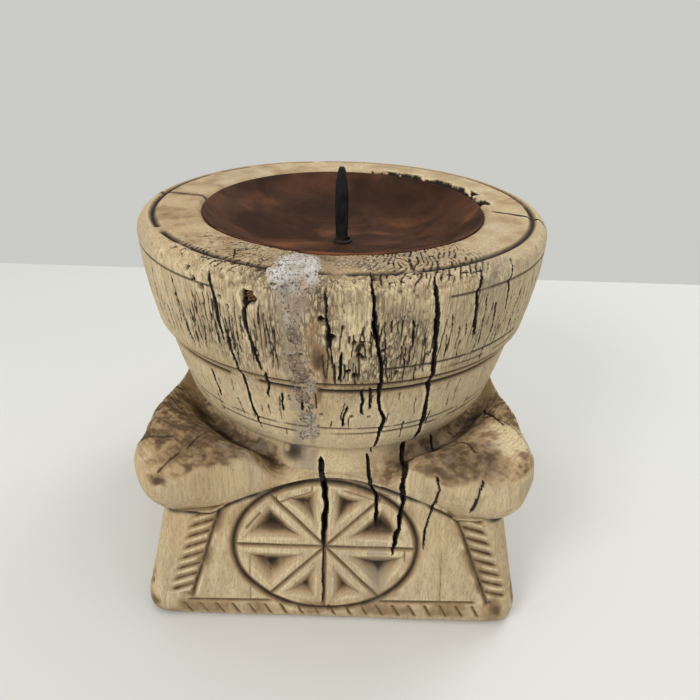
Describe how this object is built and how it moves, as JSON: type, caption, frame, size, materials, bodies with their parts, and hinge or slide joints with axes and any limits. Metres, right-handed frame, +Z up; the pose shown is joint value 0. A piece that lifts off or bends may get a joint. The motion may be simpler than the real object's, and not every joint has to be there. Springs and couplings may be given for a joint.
{
  "type": "pricket candle holder",
  "caption": "Pricket candle holder: turned wooden bowl on a square carved foot, with a copper liner dish and an iron spike that holds a candle upright.",
  "frame": {"origin": "centre of the flat underside of the foot, on the floor", "axes": "+Z up through the spike, -Y towards the side with the plaster streak, +X to that side's right"},
  "size_m": [0.154, 0.1545, 0.159],
  "materials": {
    "weathered_wood": "old, dry, unfinished",
    "dark_copper": "copper, darkened and smoky",
    "black_iron": "hand forged, black",
    "brown_wood": "old, broken off",
    "lime_plaster": "lime plaster residue, grey white, gritty"
  },
  "bodies": {
    "root": {"wood_block": "weathered_wood", "copper_liner": "dark_copper", "iron_spike": "black_iron", "spike_collar": "black_iron", "peg_stub": "brown_wood", "lime_plaster": "lime_plaster"}
  },
  "joints": []
}
